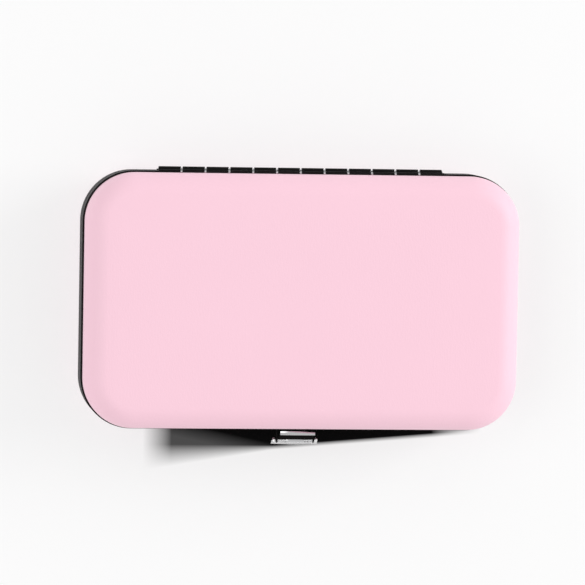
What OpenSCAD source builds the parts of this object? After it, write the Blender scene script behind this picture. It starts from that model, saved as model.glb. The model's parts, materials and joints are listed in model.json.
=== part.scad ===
// Hard clasp case with its manicure set, closed and lying on its base.
// The origin is the centre of the flat underside. +X runs along the hinge,
// +Y points to the hinge side, -Y to the clasp, and +Z up through the lid.

/* [Case] */
// Width of the case over its metal frames
case_w = 120; // [118:1:134]
// Depth of the case over its metal frames, from clasp side to hinge side
case_d = 70.4; // [70:0.2:84]
// Thickness of the closed case, lid face to base face
case_h = 28; // [27:0.5:34]
// Plan radius of the frames' outer corners
corner_r = 14; // [13:0.5:16]
// Radius at which a cover turns from its face into its wall
edge_r = 6; // [5:0.5:6]

/* [Walls] */
// Thickness of the leatherette cover with its thin foam backing
cover_t = 0.8; // [0.6:0.1:1.1]
// Thickness of the hard shell under the cover
shell_t = 1; // [0.8:0.1:1.4]
// Thickness of the flock lining
lining_t = 0.5; // [0.3:0.1:0.7]
// Glue line, or play, between pieces that lie on each other
seat_gap = 0.05; // [0.03:0.01:0.08]

/* [Metal frames] */
// Height of one frame above the seam
frame_h = 4.7; // [4.4:0.1:5]
// Thickness of the frames' sheet steel
frame_t = 0.35; // [0.3:0.05:0.5]
// Gap between the two frames when the case is closed
seam_gap = 0.2; // [0.1:0.05:0.4]

/* [Hinge] */
// Number of knuckles on the two leaves together
knuckle_count = 12; // [8:2:14]
// Distance from one knuckle to the next
knuckle_pitch = 6.55; // [5.5:0.05:6.8]
// Free gap between two knuckles
knuckle_gap = 0.4; // [0.3:0.1:0.6]
// Radius of the knuckles
barrel_r = 0.6; // [0.55:0.05:0.7]
// Radius of the hinge pin
hinge_pin_r = 0.3; // [0.25:0.05:0.3]
// Distance of the hinge's axis from the frames
hinge_out = 0.5; // [0.5:0.05:0.8]
// Radial play of the pins in their bores
pin_play = 0.05; // [0.03:0.01:0.08]
// Thickness of the hinge leaves
leaf_t = 0.3; // [0.2:0.05:0.3]
// Height of the riveted strip of a leaf
leaf_h = 2.6; // [2.2:0.1:2.6]
// Number of rivets along a leaf
hinge_rivets = 5; // [3:1:7]

/* [Rivets] */
// Radius of a rivet's shank
rivet_r = 0.45; // [0.35:0.05:0.5]
// Radius of a rivet's head
rivet_head_r = 0.8; // [0.7:0.05:0.9]
// Height of a rivet's head
rivet_head_h = 0.3; // [0.2:0.05:0.3]

/* [Clasp] */
// Width of the clasp lever
lever_w = 9.6; // [9:0.2:12]
// Thickness of the lever's sheet
lever_t = 0.55; // [0.5:0.05:0.65]
// Distance of the lever's pin from the frame
pivot_out = 3.6; // [3.3:0.05:3.9]
// Distance of the lever's pin below the seam
pivot_drop = 2.3; // [2.1:0.1:2.5]
// Height of the hook's underside above the seam
hook_rise = 3.3; // [3.2:0.05:3.5]
// Thickness of the hook's bent flange
hook_t = 0.6; // [0.5:0.05:0.7]
// Depth of the hook's flange, from its edge by the frame to the lever's face
hook_reach = 1; // [0.9:0.05:1.2]
// Gap from the hook's edge to the lid's frame
hook_gap = 0.65; // [0.55:0.05:0.65]
// Length of the thumb tab below the pin
tab_l = 3; // [2.8:0.1:3.4]
// Width of the thumb tab
tab_w = 12.8; // [12.4:0.2:14]
// How far the thumb tab leans out over its length
tab_flare = 0.8; // [0.6:0.05:0.9]
// Radius of the lever's pin
clasp_pin_r = 0.35; // [0.3:0.05:0.4]
// Radius of the round heads on the pin's ends
ball_r = 0.6; // [0.55:0.05:0.7]
// Thickness of the clasp's bracket and of the catch plate
plate_t = 0.4; // [0.3:0.05:0.5]
// Width of the catch plate on the lid's frame
catch_w = 8; // [6:0.5:9]
// Height of the ridge that the hook goes over
ridge_h = 0.9; // [0.7:0.1:1]
// How far the ridge stands out of the catch plate
ridge_out = 0.6; // [0.5:0.05:0.6]
// Radius of the clasp springs' wire
wire_r = 0.15; // [0.12:0.01:0.16]
// Free gap between two turns of a clasp spring
turn_gap = 0.43; // [0.42:0.01:0.5]

/* [Tray] */
// Depth of the tray's deck below the seam
deck_drop = 3; // [2.8:0.1:3.6]
// Foam between two rows of pockets, if the tray is deep enough for it
pocket_wall = 1.2; // [0.6:0.1:1.2]
// Least foam between a pocket and the tray's edge
tray_rim = 1.3; // [1:0.1:1.3]
// Play round a tool in its pocket
pocket_play = 0.4; // [0.3:0.05:0.4]
// Thickness of the padded board in the lid
pad_t = 1.8; // [1.2:0.1:2]

/* [Large clipper] */
// Length of the large clipper
big_l = 72; // [60:1:73]
// Width of the large clipper
big_w = 13; // [11:0.2:13]
// Height of the large clipper's head over its two jaws
big_head = 6.4; // [6:0.1:6.6]
// Depth of the large clipper's pocket
big_sink = 5.5; // [4.5:0.5:6.5]

/* [Small clipper] */
// Length of the small clipper
small_l = 56; // [50:1:56]
// Width of the small clipper
small_w = 11.4; // [10:0.2:11.4]
// Height of the small clipper's head over its two jaws
small_head = 5.4; // [5:0.1:6]
// Depth of the small clipper's pocket
small_sink = 5; // [4:0.5:6]

/* [Clipper parts] */
// Thickness of the clippers' jaws
jaw_t = 1.3; // [1.1:0.1:1.5]
// Thickness of the clippers' levers
handle_t = 1.2; // [1:0.1:1.4]
// Radius of the post that carries a clipper's lever
post_r = 1.9; // [1.6:0.1:2.1]
// Radius of the rivet that joins a clipper's jaws
tail_rivet_r = 1.6; // [1.2:0.1:1.8]
// Gap between a clipper's two cutting edges
bite_gap = 0.2; // [0.1:0.05:0.4]

/* [Scissors] */
// Length of the scissors, from the finger rings to the tip
scissors_l = 88; // [80:1:90]
// Outer radius of a finger ring
ring_r = 9.5; // [8.5:0.25:9.5]
// Radius of the finger rings' round bar
ring_bar_r = 1.4; // [1.2:0.05:1.5]
// Distance of a finger ring from the scissors' middle line
ring_off = 10; // [9.75:0.05:10.2]
// Distance of the screw from the finger rings' end
screw_at = 44; // [40:0.5:45]
// Width of the blades at the screw
blade_w = 8.4; // [7:0.2:8.4]
// Thickness of one blade
blade_t = 1.4; // [1.1:0.1:1.5]
// Radius of the scissors' screw
screw_r = 1.5; // [1.2:0.1:1.8]
// Depth of the scissors' pocket
scissors_sink = 2.9; // [2.4:0.1:3.4]

/* [Tweezers] */
// Length of the tweezers
tweezers_l = 90; // [80:1:92]
// Width of the tweezers at their joined end
tweezers_w = 7; // [6:0.2:7]
// Thickness of one arm
arm_t = 0.9; // [0.8:0.05:1.1]
// How far an arm bows out from its ends
arm_bow = 2.8; // [2.2:0.1:3]
// Gap between the two tips
tip_gap = 0.8; // [0.6:0.1:1.2]
// Depth of the tweezers' pocket
tweezers_sink = 4.2; // [3.5:0.1:4.5]

/* [File and pusher] */
// Length of the nail file
file_l = 90; // [80:1:92]
// Width of the nail file
file_w = 5.2; // [4.6:0.2:5.2]
// Thickness of the nail file
file_t = 1; // [0.8:0.1:1.2]
// Depth of the file's pocket
file_sink = 0.8; // [0.6:0.1:1]
// Length of the cuticle pusher
pusher_l = 84; // [76:1:84]
// Radius of the pusher's round handle
pusher_r = 1.5; // [1.3:0.1:1.6]
// Width of the pusher's spade
pusher_w = 3.2; // [3:0.1:3.2]
// Depth of the pusher's pocket
pusher_sink = 2.2; // [1.8:0.1:2.4]

/* [Hidden] */
$fn = 96;
bite = 0.01; // overlap that makes a cut run clean through a face

// Levels of one half: 0 is the seam, half_h the outer face.
half_h = case_h / 2;
frame_foot = seam_gap / 2;
rim_z = frame_foot + frame_t + seat_gap;

// Insets of the walls from the frames' outline.
cover_in = frame_t + seat_gap;
shell_in = cover_in + cover_t + seat_gap;
lining_in = shell_in + shell_t + seat_gap;
frame_w = lining_in + lining_t + seat_gap + frame_t;
wall_t = lining_in + lining_t - cover_in;

// Hinge.
hinge_l = knuckle_count * knuckle_pitch;
knuckle_l = knuckle_pitch - knuckle_gap;
hinge_clear = 0.05; // from the knuckles to the frames' grooves
hinge_y = case_d / 2 + hinge_out;
flat_head_h = 0.1; // height of the rivets' heads on the leaves
leaf_foot = barrel_r + 0.3;
hinge_rivet_z = leaf_foot + leaf_h / 2;

// Clasp, with places measured from the lever's pin.
pivot = [-case_d / 2 - pivot_out, half_h - pivot_drop];
face_y = pivot_out; // the frame's front face
plate_y = face_y - plate_t;
seam_up = pivot_drop;
hook_z = seam_up + hook_rise;
lug_r = 2 * clasp_pin_r;
plate_foot_y = 0.2; // outer face of the lever's plate at its lower end
end_lug_w = 0.45;
ear_gap = 0.1;
ear_t = 0.3;
ear_r = lug_r + 0.1;
ridge_gap = 0.2; // from the ridge to the hook above it
ears_z = ear_r + 0.3; // the thumb tab is wider than the lever below this depth
tab_round = 30; // radius of the thumb tab's lower edge
bracket_foot = 4.2; // lower edge of the bracket, below the seam
plate_edge = 0.3; // from the seam to either plate
bracket_rivet_x = 1.8;
catch_rivet_x = 2.6;
catch_rivet_z = 1.15;

// Clasp springs: each is wound round the pin, in a window of the lever.
coil_gap = 0.09; // from a coil to the pin inside it and to the window's edges
coil_r = clasp_pin_r + coil_gap + wire_r;
coil_pitch = 2 * wire_r + turn_gap;
coil_start = 270;
coil_end = -385;
coil_steps = 15;
coil_w = coil_pitch * (coil_start - coil_end) / 360;
window_z = coil_r + wire_r + coil_gap;
window_w = coil_w + 2 * wire_r + 3 * coil_gap;
lug_w = lever_w - 2 * (end_lug_w + window_w);
coil_x = lug_w / 2 + wire_r + 1.5 * coil_gap;
leg_l = 2.3; // leg that bears on the thumb tab

// Tray, in the frame of the whole case.
tray_in = frame_w + 0.2;
tray_w = case_w - 2 * tray_in;
tray_d = case_d - 2 * tray_in;
tray_r = corner_r - tray_in;
tray_foot = wall_t + seat_gap;
tray_turn = edge_r - tray_in + cover_in;
deck_z = half_h - deck_drop;
end_room = 1; // a rounded pocket is this much longer than a tool with square ends

// Lid pad.
pad_margin = 4.2; // from the lid's frame to the pad
pad_in = frame_w + pad_margin;
pad_turn = 0.45 * pad_t;

// Rows of pockets, from the clasp side to the hinge side. A shallow tray thins the foam between them.
rows_w = pusher_w + file_w + tweezers_w + big_w + blade_w + small_w + 12 * pocket_play;
row_wall = min(pocket_wall, (tray_d - 2 * tray_rim - rows_w) / 5);
function next_row(y, w, next_w) = y + w / 2 + row_wall + 2 * pocket_play + next_w / 2;
pusher_y = -tray_d / 2 + tray_rim + pocket_play + pusher_w / 2;
file_y = next_row(pusher_y, pusher_w, file_w);
tweezers_y = next_row(file_y, file_w, tweezers_w);
big_y = next_row(tweezers_y, tweezers_w, big_w);
scissors_y = next_row(big_y, big_w, blade_w);
small_y = next_row(scissors_y, blade_w, small_w);

// Furthest X that a pocket may reach at y, inside the tray's rounded corner.
function reach_at(y) =
    let (into = max(0, abs(y) - (tray_d / 2 - tray_r)))
    tray_w / 2 - tray_r + sqrt(max(0, pow(tray_r - tray_rim, 2) - pow(into, 2)));

scissors_x = -tray_w / 2 + tray_rim + pocket_play;
big_x = tray_w / 2 - tray_rim - pocket_play - big_l;
small_x = reach_at(small_y + small_w / 2 + pocket_play) - pocket_play - small_l;

// Clippers: length, width and head height.
big = [big_l, big_w, big_head];
small = [small_l, small_w, small_head];
base_disc_t = 0.8; // foot of the post, under the lower jaw
head_l = 8; // length of a jaw's bent cutting end
post_back = 11; // from the cutting edges to the post
tail_back = 6; // from the tail to the tail rivet
tail_flat = 10; // stretch over which the jaws lie together
handle_gap = 0.4; // from the upper jaw to the lever over it
tail_rivet_h = 0.4; // height of the tail rivet's heads

// Scissors. A shallow tray takes scissors with smaller finger rings.
ring_room = tray_d / 2 - tray_rim - pocket_play - scissors_y;
ring_fit = min(1, ring_room / (ring_off + ring_r));
ring_out = ring_r * ring_fit;
ring_y = ring_off * ring_fit;
ring_bar_at = ring_out - ring_bar_r;
neck_x = 2 * ring_out - ring_bar_r - 0.6; // where the shanks leave the finger rings
neck_w = 3; // width of a shank at its ring
neck_y = ring_y - ring_out / 4; // middle of a shank at its ring
waist_at = 13; // from the shanks' start to where they come together
waist_x = neck_x + waist_at;
waist = blade_w / 2 + 0.7; // half of their width there
tip_w = 0.9;
layer_gap = 0.1; // between the two blades
pair_t = 2 * blade_t + layer_gap;

// Tweezers.
arm_mid = arm_bow + arm_t + tip_gap / 2;
arm_r = (pow(tweezers_l / 2, 2) + pow(arm_bow, 2)) / (2 * arm_bow);
tweezers_tip_w = 1.4;
weld_l = tweezers_l / 10;

module in_lid() translate([0, 0, half_h]) children();

module in_base() translate([0, 0, half_h]) mirror([0, 0, 1]) children();

// Stretches a section lying in X and Z along X: its x becomes Y and its y becomes Z.
module along_x(length) rotate([90, 0, 90]) linear_extrude(length, center = true) children();

// Sweeps a section round the case. Its x is measured from the corners' centre, its y is height.
module sweep_around() {
    sides = [case_d - 2 * corner_r, case_w - 2 * corner_r];
    out = [case_w / 2 - corner_r, case_d / 2 - corner_r];
    for (side = [0:3]) {
        rotate(90 * side) translate([out[side % 2], 0, 0])
            rotate([90, 0, 0]) linear_extrude(sides[side % 2], center = true) children();
        rotate(90 * side) translate([out[side % 2], out[(side + 1) % 2], 0])
            rotate_extrude(angle = 90) children();
    }
}

// The block between the four corner centres, closing a sweep in the middle.
module middle(low, high) {
    translate([0, 0, (low + high) / 2]) cube([
        case_w - 2 * corner_r + 2 * bite, case_d - 2 * corner_r + 2 * bite, high - low
    ], center = true);
}

// Section of a solid with an upright wall, a rounded turn and a flat face.
module turned_section(reach, foot, face, turn) {
    translate([0, foot]) square([reach, face - turn - foot]);
    translate([0, foot]) square([reach - turn, face - foot]);
    translate([reach - turn, face - turn]) intersection() {
        circle(turn);
        translate([-turn, -bite]) square(2 * turn);
    }
}

module wall_section(inset, foot) {
    deeper = inset - cover_in;
    turned_section(corner_r - inset, foot, half_h - deeper, edge_r - deeper);
}

// One skin of a half: cover, shell or lining, all moulded over the same turn.
module half_skin(inset, thickness) {
    face = half_h - inset + cover_in;
    sweep_around() difference() {
        wall_section(inset, rim_z);
        wall_section(inset + thickness, 0);
    }
    middle(face - thickness, face);
}

// A steel channel that grips the rims of the three skins. Its outer leg has rivet holes, and at the
// seam a shallow groove that the knuckles turn in.
module half_frame(front_x, front_z) {
    difference() {
        sweep_around() difference() {
            translate([corner_r - frame_w, frame_foot]) square([frame_w, frame_h - frame_foot]);
            translate([corner_r - frame_w + frame_t, frame_foot + frame_t])
                square([frame_w - 2 * frame_t, frame_h]);
        }
        translate([0, hinge_y, 0]) rotate([0, 90, 0])
            cylinder(h = hinge_l + 2 * knuckle_gap, r = barrel_r + hinge_clear, center = true);
        for (x = hinge_rivet_places()) rivet_hole([x, case_d / 2, hinge_rivet_z]);
        for (x = [-front_x, front_x]) rivet_hole([x, -case_d / 2, front_z]);
    }
}

function hinge_rivet_places() = [
    for (i = [0:hinge_rivets - 1]) hinge_l * ((i + 0.5) / hinge_rivets - 0.5)
];

module rivet_hole(at) {
    translate([at[0], at[1], at[2]]) rotate([90, 0, 0])
        cylinder(h = 4 * frame_t + 2 * leaf_t, r = rivet_r + pin_play, center = true);
}

// A rivet through a plate and a frame's outer leg. side is 1 at the hinge and -1 at the clasp.
module rivet(at, side, plate, head_h) {
    translate(at) rotate([-90 * side, 0, 0]) {
        translate([0, 0, -frame_t]) cylinder(h = frame_t + plate + bite, r = rivet_r);
        translate([0, 0, plate]) cylinder(h = head_h, r = rivet_head_r);
    }
}

module hinge_rivet_row() {
    for (x = hinge_rivet_places()) rivet([x, case_d / 2, hinge_rivet_z], 1, leaf_t, flat_head_h);
}

// A hinge leaf with every second knuckle, starting at the first one given.
module hinge_leaf(first) {
    difference() {
        union() {
            translate([-hinge_l / 2, case_d / 2, leaf_foot]) cube([hinge_l, leaf_t, leaf_h]);
            for (i = [first:2:knuckle_count - 1])
                translate([i * knuckle_pitch - hinge_l / 2 + knuckle_gap / 2, 0, 0]) {
                    translate([0, case_d / 2, 0]) cube([knuckle_l, leaf_t, leaf_foot + bite]);
                    translate([0, hinge_y, 0]) rotate([0, 90, 0]) cylinder(h = knuckle_l, r = barrel_r);
                }
        }
        translate([0, hinge_y, 0]) rotate([0, 90, 0])
            cylinder(h = hinge_l + 2, r = hinge_pin_r + pin_play, center = true);
        for (x = hinge_rivet_places()) rivet_hole([x, case_d / 2, hinge_rivet_z]);
    }
}

module hinge_pin() {
    color("silver") translate([0, hinge_y, half_h]) rotate([0, 90, 0])
        cylinder(h = hinge_l, r = hinge_pin_r, center = true);
}

module at_pivot() translate([0, pivot[0], pivot[1]]) children();

// The lever's plate, with the hook bent in over its top.
module lever_plate_section() {
    edge_y = face_y - hook_gap;
    top_y = edge_y - hook_reach;
    foot_y = plate_foot_y;
    lean = (top_y - foot_y) / (hook_z + hook_t - window_z);
    across = lever_t * sqrt(1 + lean * lean);
    polygon([
        [edge_y, hook_z],
        [edge_y, hook_z + hook_t],
        [top_y, hook_z + hook_t],
        [foot_y, window_z],
        [foot_y + across, window_z],
        [top_y + across - lean * hook_t, hook_z]
    ]);
}

// What joins the plate, the barrel and the thumb tab beside the springs.
module lever_lug_section() {
    circle(lug_r);
    translate([plate_foot_y, 0]) square([lever_t, window_z + bite]);
    translate([-lug_r, -window_z - bite]) square([lever_t, window_z + bite]);
}

// The thumb tab leans out, and widens where it has passed the bracket's ears.
module lever_tab_section() {
    polygon([
        [-lug_r, -window_z],
        [-lug_r - tab_flare, -tab_l],
        [-lug_r - tab_flare + lever_t, -tab_l],
        [-lug_r + lever_t, -window_z]
    ]);
}

module lever_tab() {
    intersection() {
        union() {
            along_x(lever_w) lever_tab_section();
            intersection() {
                along_x(tab_w) lever_tab_section();
                translate([0, 0, -ears_z - tab_l / 2]) cube([2 * tab_w, 2 * tab_l, tab_l], center = true);
            }
        }
        translate([0, 0, tab_round - tab_l]) rotate([90, 0, 0])
            cylinder(h = 2 * tab_l, r = tab_round, center = true);
    }
}

module clasp_lever() {
    end_lug_x = (lever_w - end_lug_w) / 2;
    color("gainsboro") at_pivot() difference() {
        union() {
            along_x(lever_w) lever_plate_section();
            lever_tab();
            along_x(lug_w) lever_lug_section();
            for (x = [-end_lug_x, end_lug_x])
                translate([x, 0, 0]) along_x(end_lug_w) lever_lug_section();
        }
        rotate([0, 90, 0]) cylinder(h = 2 * lever_w, r = clasp_pin_r + pin_play, center = true);
    }
}

module clasp_bracket() {
    ear_x = lever_w / 2 + ear_gap + ear_t / 2;
    color("#18181a") at_pivot() difference() {
        union() {
            along_x(2 * ear_x + ear_t)
                translate([plate_y, seam_up - bracket_foot]) square([plate_t, bracket_foot - plate_edge]);
            for (x = [-ear_x, ear_x]) translate([x, 0, 0]) along_x(ear_t) {
                circle(ear_r);
                translate([0, -ear_r]) square([plate_y + bite, 2 * ear_r]);
            }
        }
        rotate([0, 90, 0]) cylinder(h = 2 * lever_w, r = clasp_pin_r + pin_play, center = true);
        for (x = [-bracket_rivet_x, bracket_rivet_x]) rivet_hole([x, face_y, 0]);
    }
}

module clasp_pin() {
    ball_sink = 0.1; // the heads are pressed on over the pin's ends
    ball_x = lever_w / 2 + ear_gap + ear_t + ball_r - ball_sink;
    color("white") at_pivot() {
        rotate([0, 90, 0]) cylinder(h = 2 * ball_x, r = clasp_pin_r, center = true);
        for (x = [-ball_x, ball_x]) translate([x, 0, 0]) rotate([0, 90, 0]) sphere(ball_r);
    }
}

// Points of a spring: a leg on the bracket, the coil, and a leg on the lever's tab.
function coil_point(i) =
    let (a = coil_start + (coil_end - coil_start) * i / coil_steps)
    [coil_x + coil_pitch * (coil_start - a) / 360, coil_r * cos(a), coil_r * sin(a)];

function spring_points() = [
    [coil_x, plate_y - wire_r, -coil_r],
    for (i = [0:coil_steps]) coil_point(i),
    coil_point(coil_steps) + leg_l * [0, sin(coil_end), -cos(coil_end)]
];

// Least gap of a wire to itself, between points that lie at least some steps apart on it.
function least_gap(points, r, steps) = min([
    for (i = [0:len(points) - 1 - steps], j = [i + steps:len(points) - 1]) norm(points[i] - points[j])
]) - 2 * r;
echo(clasp_spring_gap = least_gap(spring_points(), wire_r, coil_steps / 3));

// A round wire of six sides along points whose run stays close to the YZ plane.
module wire(points, r) {
    last = len(points) - 1;
    function run(i) = points[min(i + 1, last)] - points[max(i - 1, 0)];
    function unit(v) = v / norm(v);
    function ring(i) =
        let (side = unit(cross(run(i), [1, 0, 0])), up = unit(cross(side, run(i))))
        [for (k = [0:5]) points[i] + r * (cos(60 * k) * side + sin(60 * k) * up)];
    polyhedron(
        points = [for (i = [0:last]) each ring(i)],
        faces = [
            [for (k = [5:-1:0]) k],
            for (i = [0:last - 1], k = [0:5])
                each [
                    [6 * i + k, 6 * i + (k + 1) % 6, 6 * (i + 1) + k],
                    [6 * i + (k + 1) % 6, 6 * (i + 1) + (k + 1) % 6, 6 * (i + 1) + k]
                ],
            [for (k = [0:5]) 6 * last + k]
        ]
    );
}

module clasp_springs() {
    color("lightgray") at_pivot() {
        wire(spring_points(), wire_r);
        mirror([1, 0, 0]) wire(spring_points(), wire_r);
    }
}

module clasp_bracket_rivets() {
    color("#18181a") at_pivot() for (x = [-bracket_rivet_x, bracket_rivet_x])
        rivet([x, face_y, 0], -1, plate_t, rivet_head_h);
}

module catch_plate() {
    ridge_top = hook_rise - ridge_gap;
    color("#18181a") in_lid() difference() {
        translate([0, -case_d / 2, 0]) along_x(catch_w) {
            translate([-plate_t, plate_edge]) square([plate_t, ridge_top - plate_edge]);
            translate([-plate_t - ridge_out, ridge_top - ridge_h]) square([ridge_out + bite, ridge_h]);
        }
        for (x = [-catch_rivet_x, catch_rivet_x]) rivet_hole([x, -case_d / 2, catch_rivet_z]);
    }
}

module catch_rivets() {
    color("#18181a") in_lid() for (x = [-catch_rivet_x, catch_rivet_x])
        rivet([x, -case_d / 2, catch_rivet_z], -1, plate_t, rivet_head_h);
}

// Plan shapes of the tools, grown by the pockets' play.
module slot_plan(length, width, grow) {
    round_r = width / 2 + grow;
    square([length - width, 2 * round_r], center = true);
    for (x = [-1, 1]) translate([x * (length - width) / 2, 0]) circle(round_r);
}

module clipper_plan(clipper, grow) {
    l = clipper[0] + 2 * grow;
    w = clipper[1] + 2 * grow;
    r = clipper[1] / 4 + grow;
    translate([clipper[0] / 2, 0]) {
        square([l - 2 * r, w], center = true);
        square([l, w - 2 * r], center = true);
        for (x = [-1, 1], y = [-1, 1]) translate([x * (l / 2 - r), y * (w / 2 - r)]) circle(r);
    }
}

module scissors_plan(grow) {
    for (y = [-ring_y, ring_y]) translate([ring_out, y]) circle(ring_out + grow);
    neck = neck_y + neck_w / 2 + grow;
    half = blade_w / 2 + grow;
    tip = tip_w / 2 + grow;
    polygon([
        [neck_x, neck], [waist_x, waist + grow], [screw_at, half], [scissors_l + grow, tip],
        [scissors_l + grow, -tip], [screw_at, -half], [waist_x, -waist - grow], [neck_x, -neck]
    ]);
}

module pocket(at, sink) {
    translate([at[0], at[1], deck_z - sink]) linear_extrude(sink + 1) children();
}

module tool_tray() {
    color("#2b2b2f") difference() {
        union() {
            in_base() intersection() {
                sweep_around() turned_section(tray_r, deck_drop, half_h - tray_foot, tray_turn);
                translate([0, 0, half_h / 2]) cube([case_w, case_d, half_h], center = true);
            }
            in_base() middle(deck_drop, half_h - tray_foot);
        }
        pocket([0, pusher_y], pusher_sink) slot_plan(pusher_l + 2 * end_room, pusher_w, pocket_play);
        pocket([0, file_y], file_sink) slot_plan(file_l, file_w, pocket_play);
        pocket([0, tweezers_y], tweezers_sink) slot_plan(tweezers_l + 2 * end_room, tweezers_w, pocket_play);
        pocket([big_x, big_y], big_sink) clipper_plan(big, pocket_play);
        pocket([small_x, small_y], small_sink) clipper_plan(small, pocket_play);
        pocket([scissors_x, scissors_y], scissors_sink) scissors_plan(pocket_play);
    }
}

module lid_pad() {
    face = half_h - wall_t - seat_gap;
    color("#3a3a40") in_lid() {
        translate([0, 0, 2 * face - pad_t]) mirror([0, 0, 1])
            sweep_around() turned_section(corner_r - pad_in, face - pad_t, face, pad_turn);
        middle(face - pad_t, face);
    }
}

// A tool stands on the floor of its pocket.
module in_pocket(at, sink) translate([at[0], at[1], deck_z - sink + seat_gap]) children();

// A plate of a clipper: a side view stretched across, then cut to its plan.
module clipper_plate(clipper) {
    intersection() {
        rotate([90, 0, 0]) linear_extrude(2 * clipper[1], center = true) children();
        linear_extrude(4 * clipper[2]) clipper_plan(clipper, 0);
    }
}

// Levels of a clipper: where its edges meet, and the underside of its upper jaw and lever.
function bite_z(clipper) = base_disc_t + clipper[2] / 2;
function upper_z(clipper) = base_disc_t + clipper[2] - jaw_t;
function handle_z(clipper) = upper_z(clipper) + jaw_t + handle_gap;

module clipper_lower_jaw(clipper) {
    l = clipper[0];
    edge = bite_z(clipper) - bite_gap / 2;
    color("silver") difference() {
        clipper_plate(clipper) polygon([
            [0, base_disc_t], [l - head_l, base_disc_t], [l, edge - 1], [l, edge],
            [l - 1, edge], [l - head_l - 1, base_disc_t + jaw_t], [0, base_disc_t + jaw_t]
        ]);
        clipper_bores(clipper);
    }
}

module clipper_upper_jaw(clipper) {
    l = clipper[0];
    low = base_disc_t + jaw_t;
    high = upper_z(clipper);
    edge = bite_z(clipper) + bite_gap / 2;
    color("silver") difference() {
        clipper_plate(clipper) polygon([
            [0, low], [tail_flat, low], [l - head_l - 1, high], [l - 1, edge],
            [l, edge], [l, edge + 1], [l - head_l, high + jaw_t], [tail_flat, low + jaw_t], [0, low + jaw_t]
        ]);
        clipper_bores(clipper);
    }
}

module clipper_bores(clipper) {
    top = 4 * clipper[2];
    translate([clipper[0] - post_back, 0, 0]) cylinder(h = top, r = post_r + pin_play);
    translate([tail_back, 0, 0]) cylinder(h = top, r = tail_rivet_r + pin_play);
}

// The lever lies folded back over the upper jaw, with its finger end at the tail.
module clipper_lever(clipper) {
    post_x = clipper[0] - post_back;
    front = post_x + post_r + 2;
    knee = post_x - post_r - 2;
    high = handle_z(clipper);
    low = base_disc_t + 2 * jaw_t + tail_rivet_h + handle_gap;
    tail = tail_back + 5;
    color("silver") difference() {
        intersection() {
            clipper_plate(clipper) polygon([
                [front, high], [front, high + handle_t], [knee, high + handle_t], [tail, low + handle_t],
                [3, low + handle_t + 1], [3, low + 1], [tail, low], [knee, high]
            ]);
            translate([0, -0.38 * clipper[1], 0]) cube([clipper[0], 0.76 * clipper[1], 4 * clipper[2]]);
        }
        translate([post_x, 0, 0]) cylinder(h = 4 * clipper[2], r = post_r + pin_play);
    }
}

module clipper_post(clipper) {
    top = handle_z(clipper) + handle_t;
    color("lightgray") translate([clipper[0] - post_back, 0, 0]) {
        cylinder(h = base_disc_t - seat_gap, r = post_r + 1.2);
        cylinder(h = top + 0.2, r = post_r);
        translate([0, 0, top + seat_gap]) cylinder(h = 0.5, r = post_r + 0.5);
    }
}

module clipper_rivet(clipper) {
    top = base_disc_t + 2 * jaw_t;
    color("lightgray") translate([tail_back, 0, 0]) {
        translate([0, 0, base_disc_t - tail_rivet_h - seat_gap])
            cylinder(h = tail_rivet_h, r = tail_rivet_r + 0.6);
        translate([0, 0, base_disc_t - tail_rivet_h])
            cylinder(h = top - base_disc_t + 2 * tail_rivet_h - 0.1, r = tail_rivet_r);
        translate([0, 0, top + seat_gap]) cylinder(h = tail_rivet_h, r = tail_rivet_r + 0.6);
    }
}

// One half of the scissors: finger ring, shank and blade. side is 1 or -1.
module scissors_half(side, low) {
    color("silver") difference() {
        union() {
            translate([ring_out, side * ring_y, pair_t / 2]) rotate_extrude()
                translate([ring_bar_at, 0]) circle(ring_bar_r);
            translate([0, 0, low]) linear_extrude(blade_t) {
                polygon([
                    [neck_x, side * (neck_y + neck_w / 2)], [waist_x, side * waist],
                    [screw_at, side * blade_w / 2], [screw_at, -side * blade_w / 2],
                    [waist_x, side * (waist - neck_w)], [neck_x, side * (neck_y - neck_w / 2)]
                ]);
                translate([screw_at, 0]) circle(blade_w / 2);
                polygon([
                    [screw_at, blade_w / 2], [scissors_l, tip_w / 2],
                    [scissors_l, -tip_w / 2], [screw_at, -blade_w / 2]
                ]);
            }
        }
        translate([screw_at, 0, -1]) cylinder(h = 10, r = screw_r + pin_play);
    }
}

module scissors_screw() {
    head_t = 0.5;
    head_r = screw_r + 0.8;
    color("lightgray") translate([screw_at, 0, 0]) difference() {
        union() {
            cylinder(h = pair_t + seat_gap + bite, r = screw_r);
            translate([0, 0, pair_t + seat_gap]) cylinder(h = head_t, r = head_r);
        }
        translate([0, 0, pair_t + seat_gap + head_t]) cube([2 * head_r + 2 * bite, 0.5, 0.5], center = true);
    }
}

module tweezers() {
    high = 2 * arm_mid;
    color("silver") translate([-tweezers_l / 2, 0, 0]) intersection() {
        rotate([90, 0, 0]) linear_extrude(2 * tweezers_w, center = true) {
            for (up = [0, 1]) translate([0, arm_mid]) mirror([0, up]) translate([0, -arm_mid])
                intersection() {
                    translate([tweezers_l / 2, arm_r]) difference() {
                        circle(arm_r, $fn = 720);
                        circle(arm_r - arm_t, $fn = 720);
                    }
                    square([tweezers_l, arm_mid]);
                }
            translate([0, arm_mid - tip_gap / 2 - 0.2]) square([weld_l, tip_gap + 0.4]);
        }
        linear_extrude(high) polygon([
            [0, -tweezers_w / 2 + 1], [weld_l, -tweezers_w / 2], [tweezers_l, -tweezers_tip_w / 2],
            [tweezers_l, tweezers_tip_w / 2], [weld_l, tweezers_w / 2], [0, tweezers_w / 2 - 1]
        ]);
    }
}

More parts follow.
